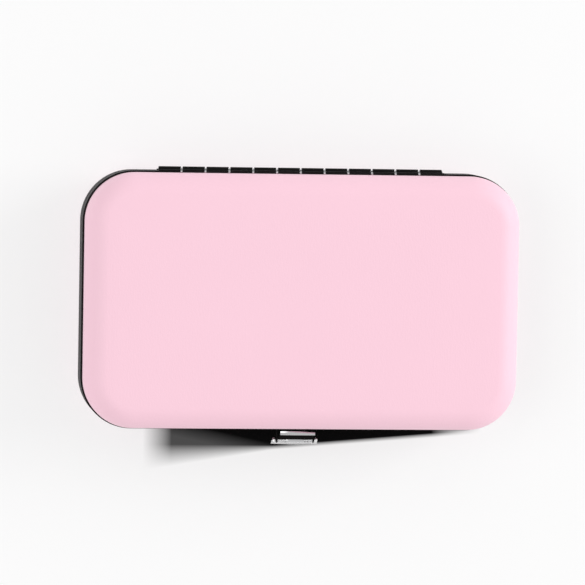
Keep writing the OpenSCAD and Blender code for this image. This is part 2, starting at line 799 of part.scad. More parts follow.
module nail_file() {
    point_l = file_l / 10;
    color("silver") linear_extrude(file_t) {
        translate([(file_w - file_l) / 2, 0]) circle(file_w / 2);
        polygon([
            [(file_w - file_l) / 2, -file_w / 2], [file_l / 2 - point_l, -file_w / 2], [file_l / 2, -0.4],
            [file_l / 2, 0.4], [file_l / 2 - point_l, file_w / 2], [(file_w - file_l) / 2, file_w / 2]
        ]);
    }
}

// A round handle with a flat spade at one end and a forked trimmer at the other.
module cuticle_pusher() {
    end_l = 12;
    blade = 0.9;
    color("silver") translate([0, 0, pusher_r]) {
        rotate([0, 90, 0]) cylinder(h = pusher_l - 2 * end_l, r = pusher_r, center = true);
        translate([0, 0, -blade / 2]) linear_extrude(blade) {
            translate([(pusher_w - pusher_l) / 2, 0]) circle(pusher_w / 2);
            translate([(pusher_w - pusher_l) / 2, -pusher_w / 2]) square([end_l, pusher_w]);
            difference() {
                translate([pusher_l / 2 - end_l - 1, -pusher_w / 2]) square([end_l + 1, pusher_w]);
                polygon([[pusher_l / 2 + 1, 1.2], [pusher_l / 2 + 1, -1.2], [pusher_l / 2 - 4, 0]]);
            }
        }
    }
}

module large_clipper() in_pocket([big_x, big_y], big_sink) children();

module small_clipper() in_pocket([small_x, small_y], small_sink) children();

module scissors() in_pocket([scissors_x, scissors_y], scissors_sink) children();

pink = "#f8d1dd";
flock = "#2b2b2f";

color(pink) in_base() half_skin(cover_in, cover_t);  // base_cover
color("beige") in_base() half_skin(shell_in, shell_t);  // base_shell
color(flock) in_base() half_skin(lining_in, lining_t);  // base_lining
color("#18181a") in_base() half_frame(bracket_rivet_x, pivot_drop);  // base_frame
tool_tray();
color(pink) in_lid() half_skin(cover_in, cover_t);  // lid_cover
color("beige") in_lid() half_skin(shell_in, shell_t);  // lid_shell
color(flock) in_lid() half_skin(lining_in, lining_t);  // lid_lining
color("#18181a") in_lid() half_frame(catch_rivet_x, catch_rivet_z);  // lid_frame
lid_pad();
color("#18181a") in_base() hinge_leaf(0);  // hinge_leaf_base
color("#18181a") in_lid() hinge_leaf(1);  // hinge_leaf_lid
hinge_pin();
color("#18181a") in_base() hinge_rivet_row();  // hinge_rivets_base
color("#18181a") in_lid() hinge_rivet_row();  // hinge_rivets_lid
clasp_bracket();
clasp_bracket_rivets();
clasp_lever();
clasp_pin();
clasp_springs();
catch_plate();
catch_rivets();
large_clipper() clipper_lower_jaw(big);  // large_clipper_lower_jaw
large_clipper() clipper_upper_jaw(big);  // large_clipper_upper_jaw
large_clipper() clipper_lever(big);  // large_clipper_lever
large_clipper() clipper_post(big);  // large_clipper_post
large_clipper() clipper_rivet(big);  // large_clipper_rivet
small_clipper() clipper_lower_jaw(small);  // small_clipper_lower_jaw
small_clipper() clipper_upper_jaw(small);  // small_clipper_upper_jaw
small_clipper() clipper_lever(small);  // small_clipper_lever
small_clipper() clipper_post(small);  // small_clipper_post
small_clipper() clipper_rivet(small);  // small_clipper_rivet
scissors() scissors_half(1, 0);  // scissors_blade_left
scissors() scissors_half(-1, blade_t + layer_gap);  // scissors_blade_right
scissors() scissors_screw();
in_pocket([0, tweezers_y], tweezers_sink) tweezers();
in_pocket([0, file_y], file_sink) nail_file();
in_pocket([0, pusher_y], pusher_sink) cuticle_pusher();
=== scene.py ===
# A hard clasp case for a manicure set, closed and lying on its base.
# Metres, in the CAD's own frame: X along the hinge, +Y the hinge side, -Y the clasp, +Z up.
import json
import math

import bmesh
import bpy
from mathutils import Matrix, Vector

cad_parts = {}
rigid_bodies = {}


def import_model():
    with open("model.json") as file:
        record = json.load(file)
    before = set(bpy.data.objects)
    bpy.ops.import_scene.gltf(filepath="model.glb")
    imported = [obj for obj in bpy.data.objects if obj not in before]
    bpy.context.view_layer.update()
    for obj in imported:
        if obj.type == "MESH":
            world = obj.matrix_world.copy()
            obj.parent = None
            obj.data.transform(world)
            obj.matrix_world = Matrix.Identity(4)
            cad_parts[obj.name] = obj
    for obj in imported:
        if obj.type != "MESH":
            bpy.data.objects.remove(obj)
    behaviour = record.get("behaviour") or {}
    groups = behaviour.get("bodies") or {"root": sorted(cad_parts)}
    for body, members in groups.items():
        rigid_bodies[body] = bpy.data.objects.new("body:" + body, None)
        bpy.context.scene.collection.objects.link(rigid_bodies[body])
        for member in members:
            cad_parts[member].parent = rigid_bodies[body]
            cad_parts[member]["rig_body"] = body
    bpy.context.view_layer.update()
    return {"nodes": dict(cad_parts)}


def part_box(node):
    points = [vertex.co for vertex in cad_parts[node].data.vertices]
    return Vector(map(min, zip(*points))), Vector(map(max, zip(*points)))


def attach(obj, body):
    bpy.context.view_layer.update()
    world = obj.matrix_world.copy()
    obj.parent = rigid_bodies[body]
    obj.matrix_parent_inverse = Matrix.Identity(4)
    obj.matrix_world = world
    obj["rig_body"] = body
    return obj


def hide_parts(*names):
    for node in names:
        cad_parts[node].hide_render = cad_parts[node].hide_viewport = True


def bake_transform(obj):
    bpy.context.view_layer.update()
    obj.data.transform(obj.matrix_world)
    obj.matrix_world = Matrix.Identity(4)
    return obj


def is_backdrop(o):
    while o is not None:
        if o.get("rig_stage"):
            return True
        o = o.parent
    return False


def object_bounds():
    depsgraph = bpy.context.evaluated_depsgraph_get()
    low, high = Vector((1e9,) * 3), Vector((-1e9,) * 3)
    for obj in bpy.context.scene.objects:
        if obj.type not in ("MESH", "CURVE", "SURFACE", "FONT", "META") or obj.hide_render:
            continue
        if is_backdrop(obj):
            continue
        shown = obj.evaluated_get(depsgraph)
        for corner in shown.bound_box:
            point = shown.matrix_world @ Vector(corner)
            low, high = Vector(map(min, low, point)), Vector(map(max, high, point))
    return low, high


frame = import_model()
nodes = frame["nodes"]
mm = 0.001
# the plane in which the two halves meet
seam = 14 * mm


# Leatherette covers
# Each half wears a cover of pink leatherette on a film of foam. It is moulded over the hard
# shell, glued down, and its rim is tucked into the channel of the metal frame.
def shader(name, color, rough, metal=0.0):
    material = bpy.data.materials.new(name)
    material.use_nodes = True
    material.diffuse_color = (*color, 1)
    surface = material.node_tree.nodes["Principled BSDF"]
    surface.inputs["Base Color"].default_value = (*color, 1)
    surface.inputs["Roughness"].default_value = rough
    surface.inputs["Metallic"].default_value = metal
    return material, material.node_tree, surface


def math_node(tree, operation, first, second=None, third=None):
    node = tree.nodes.new("ShaderNodeMath")
    node.operation = operation
    for socket, value in zip(node.inputs, (first, second, third)):
        if isinstance(value, (int, float)):
            socket.default_value = value
        elif value is not None:
            tree.links.new(value, socket)
    return node.outputs[0]


def new_group(name, ins, outs):
    """An empty node group: its inputs have a name, a kind and a value, its outputs a name and a kind."""
    group = bpy.data.node_groups.new(name, "ShaderNodeTree")
    for label, kind, value in ins:
        socket = group.interface.new_socket(label, in_out="INPUT", socket_type="NodeSocket" + kind)
        if value is not None:
            socket.default_value = value
    for label, kind in outs:
        group.interface.new_socket(label, in_out="OUTPUT", socket_type="NodeSocket" + kind)
    return group, group.nodes.new("NodeGroupInput").outputs, group.nodes.new("NodeGroupOutput").inputs


def place_group(tree, group, values):
    """The group in a material's tree. A value may be a number, a colour or another node's output."""
    node = tree.nodes.new("ShaderNodeGroup")
    node.node_tree = group
    for label, value in values.items():
        if isinstance(value, bpy.types.NodeSocket):
            tree.links.new(value, node.inputs[label])
        else:
            node.inputs[label].default_value = value
    return node.outputs


# Soft spots of light and dark over any finish: the colour drifts and the roughness wavers.
drift, given, result = new_group(
    "finish_drift",
    [("Color", "Color", None), ("Size", "Float", 60.0), ("Amount", "Float", 0.05),
     ("Roughness", "Float", 0.4), ("Waver", "Float", 0.05)],
    [("Color", "Color"), ("Roughness", "Float")])
place = drift.nodes.new("ShaderNodeTexCoord")
spots = drift.nodes.new("ShaderNodeTexNoise")
spots.inputs["Detail"].default_value = 4
drift.links.new(place.outputs["Object"], spots.inputs["Vector"])
drift.links.new(given["Size"], spots.inputs["Scale"])
centred = math_node(drift, "SUBTRACT", spots.outputs["Fac"], 0.5)
tinted = drift.nodes.new("ShaderNodeVectorMath")
tinted.operation = "SCALE"
drift.links.new(given["Color"], tinted.inputs[0])
drift.links.new(math_node(drift, "MULTIPLY_ADD", centred, given["Amount"], 1.0), tinted.inputs["Scale"])
drift.links.new(tinted.outputs[0], result["Color"])
drift.links.new(math_node(drift, "MULTIPLY_ADD", centred, given["Waver"], given["Roughness"]),
                result["Roughness"])

# Grain of leather, brushing, pile or lacquer: a noise over the object, stretched along its axes.
fine_grain, given, result = new_group(
    "fine_grain", [("Stretch", "Vector", (1, 1, 1)), ("Size", "Float", 500.0), ("Detail", "Float", 3.0)],
    [("Height", "Float")])
place = fine_grain.nodes.new("ShaderNodeTexCoord")
stretch = fine_grain.nodes.new("ShaderNodeMapping")
noise = fine_grain.nodes.new("ShaderNodeTexNoise")
fine_grain.links.new(place.outputs["Object"], stretch.inputs["Vector"])
fine_grain.links.new(given["Stretch"], stretch.inputs["Scale"])
fine_grain.links.new(stretch.outputs["Vector"], noise.inputs["Vector"])
fine_grain.links.new(given["Size"], noise.inputs["Scale"])
fine_grain.links.new(given["Detail"], noise.inputs["Detail"])
fine_grain.links.new(noise.outputs["Fac"], result["Height"])


def add_drift(tree, surface, color, size, amount, rough, waver):
    spotted = place_group(tree, drift, {"Color": (*color, 1), "Size": size, "Amount": amount,
                                        "Roughness": rough, "Waver": waver})
    tree.links.new(spotted["Color"], surface.inputs["Base Color"])
    tree.links.new(spotted["Roughness"], surface.inputs["Roughness"])


def bump(tree, surface, height, strength, distance, under=None):
    node = tree.nodes.new("ShaderNodeBump")
    node.inputs["Strength"].default_value = strength
    node.inputs["Distance"].default_value = distance
    tree.links.new(height, node.inputs["Height"])
    if under is not None:
        tree.links.new(under.outputs["Normal"], node.inputs["Normal"])
    tree.links.new(node.outputs["Normal"], surface.inputs["Normal"])
    return node


def add_grain(tree, surface, stretch, size, strength, distance, detail=3.0):
    grain = place_group(tree, fine_grain, {"Stretch": stretch, "Size": size, "Detail": detail})
    return bump(tree, surface, grain["Height"], strength, distance)


pink = (0.92, 0.600, 0.700)
leatherette, tree, surface = shader("leatherette_pink", pink, rough=0.5)
add_drift(tree, surface, pink, size=45.0, amount=0.02, rough=0.52, waver=0.1)
surface.inputs["Specular IOR Level"].default_value = 0.35
surface.inputs["Sheen Weight"].default_value = 0.12
surface.inputs["Sheen Roughness"].default_value = 0.5
surface.inputs["Sheen Tint"].default_value = (1, 0.9, 0.94, 1)
creases = add_grain(tree, surface, (2.4, 0.8, 1.6), size=900.0, strength=0.22, distance=0.12 * mm)
pebbles = tree.nodes.new("ShaderNodeTexVoronoi")
pebbles.inputs["Scale"].default_value = 2200.0
place = tree.nodes.new("ShaderNodeTexCoord")
tree.links.new(place.outputs["Object"], pebbles.inputs["Vector"])
bump(tree, surface, pebbles.outputs["Distance"], strength=0.18, distance=0.06 * mm, under=creases)


def finished(name, bm, material, body, stands_for):
    """The mesh as a piece of the scene. A piece without a body is attached to none."""
    for face in bm.faces:
        face.smooth = True
    mesh = bpy.data.meshes.new(name)
    bm.to_mesh(mesh)
    bm.free()
    piece = bpy.data.objects.new(name, mesh)
    bpy.context.scene.collection.objects.link(piece)
    mesh.materials.append(material)
    if body:
        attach(piece, body)
    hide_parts(*stands_for)
    return piece


def cut_across(bm, at, normal):
    """Divides each face where the plane crosses it."""
    bmesh.ops.bisect_plane(bm, geom=bm.verts[:] + bm.edges[:] + bm.faces[:],
                           plane_co=at, plane_no=normal, dist=1e-7)


def rounded_block(width, depth, low, high, corner, turn, step):
    """An open-footed block with rounded corners, a rounded turn at its top and a fine net of cuts."""
    bm = bmesh.new()
    hair = 1e-6
    bmesh.ops.create_cube(bm, size=1)
    bmesh.ops.scale(bm, vec=(width, depth, high - low), verts=bm.verts)
    bmesh.ops.translate(bm, vec=(0, 0, (low + high) / 2), verts=bm.verts)
    upright = [e for e in bm.edges if abs(e.verts[0].co.z - e.verts[1].co.z) > (high - low) / 2]
    bmesh.ops.bevel(bm, geom=upright, offset=corner, offset_type="OFFSET", segments=20,
                    profile=0.5, affect="EDGES", material=-1)
    top = [e for e in bm.edges if min(v.co.z for v in e.verts) > high - hair]
    bmesh.ops.bevel(bm, geom=top, offset=turn, offset_type="OFFSET", segments=10,
                    profile=0.5, affect="EDGES", material=-1)
    foot = [f for f in bm.faces if max(v.co.z for v in f.verts) < low + hair]
    bmesh.ops.delete(bm, geom=foot, context="FACES")
    for normal, reach in ((Vector((1, 0, 0)), width / 2 - turn), (Vector((0, 1, 0)), depth / 2 - turn)):
        count = int(2 * reach / step)
        for i in range(count + 1):
            cut_across(bm, reach * (2 * i / count - 1) * normal, normal)
    return bm


def fall_to_edges(point, width, depth, power):
    """How far a crowned face has fallen at a point: 0 at its middle, 1 at its edges."""
    fx, fy = 2 * point.x / width, 2 * point.y / depth
    return 1 - (1 - fx ** power) * (1 - fy ** power)


cover_corner = 13.6 * mm
cover_turn = 6 * mm
cover_skin = 0.8 * mm
cover_net = 4 * mm
frame_lip = seam + 4.7 * mm
# the heights of the extra cuts beside the lip, from which the pressed channel gets its form
lip_cuts = [rise * mm for rise in (-0.6, -0.1, 0.25, 0.6, 1.1, 1.7)]
channel_depth, channel_reach = 0.16 * mm, 0.75 * mm
crown_start = 1.5 * mm


def leatherette_cover(name, node, body, crown, up):
    """A cover modelled on the lid's. Where up is below 0 it is mirrored in the seam for the base."""
    low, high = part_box("lid_cover")
    width, depth = high.x - low.x, high.y - low.y
    bm = rounded_block(width, depth, low.z, high.z, cover_corner, cover_turn, cover_net)
    for rise in lip_cuts:
        cut_across(bm, (0, 0, frame_lip + rise), (0, 0, 1))
    for v in bm.verts:
        # the face is softly crowned: it falls a little towards its edges
        level = max(0.0, (v.co.z - frame_lip - crown_start) / (high.z - frame_lip - crown_start))
        v.co.z -= crown * level * fall_to_edges(v.co, width, depth, 4)
        # the frame's lip presses a shallow channel into the foam behind the leatherette
        pinch = math.exp(-(((v.co.z - frame_lip) / channel_reach) ** 2)) * channel_depth
        flat = Vector((v.co.x, v.co.y, 0))
        core = Vector((max(-width / 2 + cover_corner, min(width / 2 - cover_corner, flat.x)),
                       max(-depth / 2 + cover_corner, min(depth / 2 - cover_corner, flat.y)), 0))
        if (flat - core).length > 1e-6:
            v.co -= (flat - core).normalized() * pinch
    if up < 0:
        bmesh.ops.scale(bm, vec=(1, 1, -1), verts=bm.verts)
        bmesh.ops.translate(bm, vec=(0, 0, 2 * seam), verts=bm.verts)
        bmesh.ops.reverse_faces(bm, faces=bm.faces)
    piece = finished(name, bm, leatherette, body, (node,))
    skin = piece.modifiers.new("skin", "SOLIDIFY")
    skin.thickness = cover_skin
    skin.offset = -1


leatherette_cover("leatherette_lid", "lid_cover", "lid", crown=0.45 * mm, up=1)
leatherette_cover("leatherette_base", "base_cover", "base", crown=0.2 * mm, up=-1)


# Metal frames
# Two steel channels grip the rims of the halves. They are pressed from sheet, so all their edges
# are broken, and lacquered black. The knuckles' slots were cut after the lacquer: bare steel
# shows across the frames' lips there.
sharpest_kept = math.radians(28)


def eased(name, node, width, material):
    """The CAD node's own shape with its sharp edges broken, as any pressed or ground part has them."""
    bm = bmesh.new()
    bm.from_mesh(nodes[node].data)
    bmesh.ops.remove_doubles(bm, verts=bm.verts, dist=2e-6)
    piece = finished(name, bm, material, nodes[node]["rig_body"], (node,))
    edge = piece.modifiers.new("edge", "BEVEL")
    edge.width = width
    edge.segments = 2
    edge.limit_method = "ANGLE"
    edge.angle_limit = sharpest_kept
    edge.harden_normals = True


# A band across a piece: 1 where the value lies from low to high, falling to 0 over the soft width.
band, given, result = new_group(
    "band_across",
    [("Value", "Float", 0.0), ("Low", "Float", 0.0), ("High", "Float", 1.0), ("Soft", "Float", 0.1)],
    [("Mask", "Float")])
rise = math_node(band, "DIVIDE", math_node(band, "SUBTRACT", given["Value"], given["Low"]), given["Soft"])
fall = math_node(band, "DIVIDE", math_node(band, "SUBTRACT", given["High"], given["Value"]), given["Soft"])
both = math_node(band, "ADD", math_node(band, "MINIMUM", rise, fall), 0.5)
band.links.new(math_node(band, "MINIMUM", math_node(band, "MAXIMUM", both, 0.0), 1.0), result["Mask"])

# Two finishes on one sheet: the mask turns the first colour, roughness and metal into the second.
pair, given, result = new_group(
    "two_finishes",
    [("Mask", "Float", 0.0), ("Color", "Color", None), ("Second color", "Color", None),
     ("Roughness", "Float", 0.4), ("Second roughness", "Float", 0.4),
     ("Metallic", "Float", 0.0), ("Second metallic", "Float", 1.0)],
    [("Color", "Color"), ("Roughness", "Float"), ("Metallic", "Float")])
mix = pair.nodes.new("ShaderNodeMix")
mix.data_type = "RGBA"
pair.links.new(given["Mask"], mix.inputs["Factor"])
pair.links.new(given["Color"], mix.inputs["A"])
pair.links.new(given["Second color"], mix.inputs["B"])
pair.links.new(mix.outputs["Result"], result["Color"])
for label in ("Roughness", "Metallic"):
    change = math_node(pair, "SUBTRACT", given["Second " + label.lower()], given[label])
    pair.links.new(math_node(pair, "MULTIPLY_ADD", given["Mask"], change, given[label]), result[label])


def band_mask(tree, value, low, high, soft):
    return place_group(tree, band, {"Value": value, "Low": low, "High": high, "Soft": soft})["Mask"]


def two_finishes(tree, surface, mask, colors, rough, metal):
    mixed = place_group(tree, pair, {
        "Mask": mask, "Color": (*colors[0], 1), "Second color": (*colors[1], 1),
        "Roughness": rough[0], "Second roughness": rough[1],
        "Metallic": metal[0], "Second metallic": metal[1]})
    for label, socket in (("Color", "Base Color"), ("Roughness", "Roughness"), ("Metallic", "Metallic")):
        tree.links.new(mixed[label], surface.inputs[socket])


def object_axes(tree):
    place = tree.nodes.new("ShaderNodeTexCoord")
    split = tree.nodes.new("ShaderNodeSeparateXYZ")
    tree.links.new(place.outputs["Object"], split.inputs[0])
    return split.outputs


# far past every piece, for a band that is open on one side
far = 1.0
black = (0.010, 0.009, 0.009)
black_rough = 0.42
steel_color = (0.70, 0.70, 0.71)
lacquer, tree, surface = shader("lacquer_black", black, black_rough)
surface.inputs["Specular IOR Level"].default_value = 0.05
add_grain(tree, surface, (1, 1, 1), size=500.0, strength=0.05, distance=0.1 * mm, detail=1.0)

# The slots repeat with the knuckles' pitch and lean a little from the upright.
knuckle_pitch = 6.55 * mm
hinge_half = 6 * knuckle_pitch
hinge_margin = 2 * mm
slot_half = 0.25 * mm
slot_lean = 0.122
lean_from = seam + 0.4 * mm
# whole pitches that keep the folded value above 0 all along the hinge
pitches_added = 100
# the frame's outer face on the hinge side
hinge_side = (34.6 * mm, 40 * mm)
# heights at which bare steel shows in a slot
knuckle_ends_at = (seam - 0.7 * mm, seam + 0.7 * mm)
leaf_edge_at = (seam + 3.42 * mm, seam + 3.6 * mm)
lip_top_at = (seam + 4.6 * mm, seam + 5 * mm)
side_soft, height_soft = 0.1 * mm, 0.02 * mm

x, y, z = object_axes(tree)
leaning = math_node(tree, "MULTIPLY_ADD", z, slot_lean, pitches_added * knuckle_pitch - slot_lean * lean_from)
turn_of_pitch = math_node(tree, "PINGPONG", math_node(tree, "ADD", x, leaning), knuckle_pitch / 2)
at_slots = band_mask(tree, turn_of_pitch, -far, slot_half, side_soft)
along = band_mask(tree, x, -hinge_half + hinge_margin, hinge_half - hinge_margin, side_soft)
outside = band_mask(tree, y, *hinge_side, side_soft)
knuckle_ends = band_mask(tree, z, *knuckle_ends_at, height_soft)
leaf_edge = band_mask(tree, z, *leaf_edge_at, height_soft)
lip_top = band_mask(tree, z, *lip_top_at, height_soft)
edges = math_node(tree, "ADD", math_node(tree, "ADD", knuckle_ends, leaf_edge), lip_top)
bare = math_node(tree, "MULTIPLY", math_node(tree, "MULTIPLY", at_slots, along),
                 math_node(tree, "MULTIPLY", outside, edges))
two_finishes(tree, surface, bare, colors=(black, steel_color), rough=(black_rough, 0.3), metal=(0.0, 1.0))

for half in ("base", "lid"):
    eased(f"frame_of_{half}", f"{half}_frame", 0.12 * mm, lacquer)


# Hard shells and flock linings
# Under the leatherette a moulded board shell gives each half its stiffness. The inside is lined
# with short black flock.
def wear(node, material):
    """A CAD node that shows as it is gets its own material."""
    nodes[node].data.materials.clear()
    nodes[node].data.materials.append(material)


board_color = (0.80, 0.74, 0.64)
board, tree, surface = shader("shell_board", board_color, rough=0.7)
add_drift(tree, surface, board_color, size=400.0, amount=0.15, rough=0.7, waver=0.1)
add_grain(tree, surface, (1, 4, 4), size=700.0, strength=0.3, distance=0.2 * mm)
for half in ("base", "lid"):
    wear(f"{half}_shell", board)

flock_color = (0.030, 0.030, 0.034)
flock, tree, surface = shader("flock_black", flock_color, rough=0.95)
add_drift(tree, surface, flock_color, size=900.0, amount=0.9, rough=0.93, waver=0.1)
surface.inputs["Sheen Weight"].default_value = 0.35
surface.inputs["Sheen Roughness"].default_value = 0.4
surface.inputs["Specular IOR Level"].default_value = 0.2
add_grain(tree, surface, (1, 1, 1), size=5200.0, strength=0.8, distance=0.2 * mm, detail=2.0)
for half in ("base", "lid"):
    eased(f"lining_of_{half}", f"{half}_lining", 0.15 * mm, flock)


# Hinge
# A piano hinge: two black leaves riveted to the frames, twelve rolled knuckles, and a bright pin
# that shows in the gaps between them.
for half in ("base", "lid"):
    eased(f"leaf_of_{half}", f"hinge_leaf_{half}", 0.06 * mm, lacquer)
for half in ("base", "lid"):
    eased(f"leaf_rivets_{half}", f"hinge_rivets_{half}", 0.04 * mm, lacquer)
wire_color = (0.66, 0.66, 0.67)
wire, tree, surface = shader("steel_wire", wire_color, rough=0.22, metal=1.0)
add_drift(tree, surface, wire_color, size=900.0, amount=0.1, rough=0.2, waver=0.1)
add_grain(tree, surface, (0.2, 3, 3), size=4000.0, strength=0.1, distance=0.05 * mm)
wear("hinge_pin", wire)


# Clasp
# A chromed lever turns on a round-headed pin in the bracket on the base's frame. Its hooked top
# goes over the ridge of the catch plate on the lid's frame, and two wound springs press it shut.
# The bracket and the catch plate wear the frames' black lacquer. The lever's face carries a painted dark
# reflection: it is coloured black in place of the chrome's reflection of shaded floor. Its hook and tab are
# bare chrome.
for node, name, width in (
        ("clasp_bracket", "bracket_of_clasp", 0.05), ("catch_plate", "plate_with_ridge", 0.07),
        ("clasp_bracket_rivets", "rivets_of_bracket", 0.06), ("catch_rivets", "rivets_of_catch", 0.06)):
    eased(name, node, width * mm, lacquer)

chrome_color = (0.64, 0.64, 0.65)
chrome_rough = 0.1
# between these heights the lever's face is painted black: a painted dark reflection of shaded floor, not a
# lacquer
face_low, face_high = 12.5 * mm, 17.72 * mm
faced, tree, surface = shader("chrome_with_painted_dark_reflection", chrome_color, chrome_rough, metal=1.0)
painted_dark_reflection = band_mask(tree, object_axes(tree)["Z"], face_low, face_high, 0.04 * mm)
two_finishes(tree, surface, painted_dark_reflection, colors=(chrome_color, black), rough=(chrome_rough, black_rough),
             metal=(1.0, 0.0))
surface.inputs["Specular IOR Level"].default_value = 0.0
add_grain(tree, surface, (1, 1, 1), size=1500.0, strength=0.05, distance=0.1 * mm, detail=1.0)
eased("lever_with_hook", "clasp_lever", 0.09 * mm, faced)

ball_color = (0.93, 0.93, 0.93)
ball_steel, tree, surface = shader("nickel_balls", ball_color, rough=0.4, metal=1.0)
add_drift(tree, surface, ball_color, size=700.0, amount=0.04, rough=0.4, waver=0.1)
add_grain(tree, surface, (1, 1, 1), size=2500.0, strength=0.08, distance=0.05 * mm, detail=1.0)
wear("clasp_pin", ball_steel)
pin_faces = nodes["clasp_pin"].data.polygons
pin_faces.foreach_set("use_smooth", [True] * len(pin_faces))

# Each spring is wound from round wire: a leg on the bracket, the coil round the pin, and a leg on the
# thumb tab.
pivot = Vector((0, -38.8 * mm, 11.7 * mm))
wire_r, coil_r = 0.15 * mm, 0.59 * mm
coil_x, coil_w = 2.735 * mm, 1.328 * mm
wire_sides, coil_steps = 12, 96
turned_by = 655
wound_by, last_leg_at = math.radians(turned_by), math.radians(270 - turned_by)
bracket_leg, tab_leg = 3.05 * mm, 2.3 * mm


def wire_leg(bm, rim, run):
    """Draws the open rim of the wire out by run, and closes its end."""
    drawn_out = bmesh.ops.extrude_edge_only(bm, edges=rim)["geom"]
    ends = [g for g in drawn_out if isinstance(g, bmesh.types.BMVert)]
    bmesh.ops.translate(bm, vec=run, verts=ends)
    bmesh.ops.holes_fill(bm, edges=[g for g in drawn_out if isinstance(g, bmesh.types.BMEdge)
                                    and all(v in ends for v in g.verts)], sides=wire_sides)


def clasp_spring(name, side):
    bm = bmesh.new()
    across = Matrix.Translation(pivot + Vector((coil_x, 0, -coil_r))) @ Matrix.Rotation(math.pi / 2, 4, "X")
    ring = bmesh.ops.create_circle(bm, segments=wire_sides, radius=wire_r, matrix=across)["verts"]
    rim = bm.edges[:]
    wire_leg(bm, rim, (0, bracket_leg, 0))
    wound = bmesh.ops.spin(bm, geom=ring + rim, cent=pivot, axis=(1, 0, 0), dvec=(coil_w / coil_steps, 0, 0),
                           angle=-wound_by, steps=coil_steps, use_merge=False, use_normal_flip=False,
                           use_duplicate=False)["geom_last"]
    wire_leg(bm, [g for g in wound if isinstance(g, bmesh.types.BMEdge)],
             tab_leg * Vector((0, math.sin(last_leg_at), -math.cos(last_leg_at))))
    bmesh.ops.scale(bm, vec=(side, 1, 1), verts=bm.verts)
    bmesh.ops.recalc_face_normals(bm, faces=bm.faces)
    spring = finished(name, bm, wire, None, ("clasp_springs",))
    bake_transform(spring)


clasp_spring("spring_left", -1)
clasp_spring("spring_right", 1)


# Tray and lid pad
# The foam tray is flocked black and holds each tool in a fitted pocket with soft edges. A board
# padded with velour closes the lid and keeps the tools down.
eased("flocked_tray", "tool_tray", 0.45 * mm, flock)

velour_color = (0.045, 0.040, 0.050)
velour, tree, surface = shader("velour_pad", velour_color, rough=0.9)
add_drift(tree, surface, velour_color, size=150.0, amount=0.5, rough=0.9, waver=0.1)
surface.inputs["Sheen Weight"].default_value = 0.5
surface.inputs["Sheen Roughness"].default_value = 0.35
surface.inputs["Specular IOR Level"].default_value = 0.2
add_grain(tree, surface, (1, 1, 1), size=3200.0, strength=0.6, distance=0.25 * mm, detail=2.0)

# The pad is made face up from its flat back, then turned over to face the tools.
low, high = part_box("lid_pad")
width, depth = high.x - low.x, high.y - low.y
pad_corner, pad_turn, pad_net = 6.6 * mm, 0.8 * mm, 3 * mm
pad_crown, pad_crown_start = 0.35 * mm, 0.9 * mm
bm = rounded_block(width, depth, 0, high.z - low.z, pad_corner, pad_turn, pad_net)
for v in bm.verts:
    if v.co.z > pad_crown_start:
        v.co.z -= pad_crown * fall_to_edges(v.co, width, depth, 6)
bmesh.ops.holes_fill(bm, edges=[e for e in bm.edges if e.is_boundary], sides=0)
bmesh.ops.scale(bm, vec=(1, 1, -1), verts=bm.verts)
bmesh.ops.translate(bm, vec=(0, 0, high.z), verts=bm.verts)
bmesh.ops.recalc_face_normals(bm, faces=bm.faces)
pad = finished("velour_lid_pad", bm, velour, "lid", ("lid_pad",))


# Nail tools
# Plain generic tools of polished steel lie in the pockets: two clippers, scissors, tweezers, a
# file and a cuticle pusher. Their edges are ground and their faces brushed along their length.
steel, tree, surface = shader("tool_steel", steel_color, rough=0.24, metal=1.0)
add_drift(tree, surface, steel_color, size=250.0, amount=0.08, rough=0.23, waver=0.12)
add_grain(tree, surface, (0.15, 6, 6), size=1500.0, strength=0.12, distance=0.06 * mm)
turned_color = (0.60, 0.60, 0.62)
turned_steel, tree, surface = shader("turned_steel", turned_color, rough=0.3, metal=1.0)
add_drift(tree, surface, turned_color, size=600.0, amount=0.1, rough=0.3, waver=0.15)
add_grain(tree, surface, (1, 1, 6), size=1800.0, strength=0.12, distance=0.05 * mm)

for size in ("large", "small"):
    for part, width in (("lower_jaw", 0.16), ("upper_jaw", 0.16), ("lever", 0.2)):
        eased(f"{part}_{size}", f"{size}_clipper_{part}", width * mm, steel)
    for part in ("post", "rivet"):
        eased(f"{part}_{size}", f"{size}_clipper_{part}", 0.12 * mm, turned_steel)
for side in ("left", "right"):
    eased(f"blade_{side}", f"scissors_blade_{side}", 0.14 * mm, steel)
eased("screw_of_scissors", "scissors_screw", 0.08 * mm, turned_steel)
eased("tweezer_arms", "tweezers", 0.12 * mm, steel)
eased("pusher_of_cuticles", "cuticle_pusher", 0.12 * mm, steel)

# the file's teeth: two sets of cuts that cross each other
file_color = (0.60, 0.60, 0.61)
cut_steel, tree, surface = shader("file_steel", file_color, rough=0.38, metal=1.0)
add_drift(tree, surface, file_color, size=400.0, amount=0.12, rough=0.38, waver=0.2)
under = None
for lean in (35, -35):
    place = tree.nodes.new("ShaderNodeTexCoord")
    lay = tree.nodes.new("ShaderNodeMapping")
    lay.inputs["Rotation"].default_value = (0, 0, math.radians(lean))
    teeth = tree.nodes.new("ShaderNodeTexWave")
    teeth.wave_profile = "SAW"
    teeth.inputs["Scale"].default_value = 560.0
    teeth.inputs["Distortion"].default_value = 0.6
    tree.links.new(place.outputs["Object"], lay.inputs["Vector"])
    tree.links.new(lay.outputs["Vector"], teeth.inputs["Vector"])
    under = bump(tree, surface, teeth.outputs["Fac"], strength=0.5, distance=0.08 * mm, under=under)
eased("cut_nail_file", "nail_file", 0.1 * mm, cut_steel)


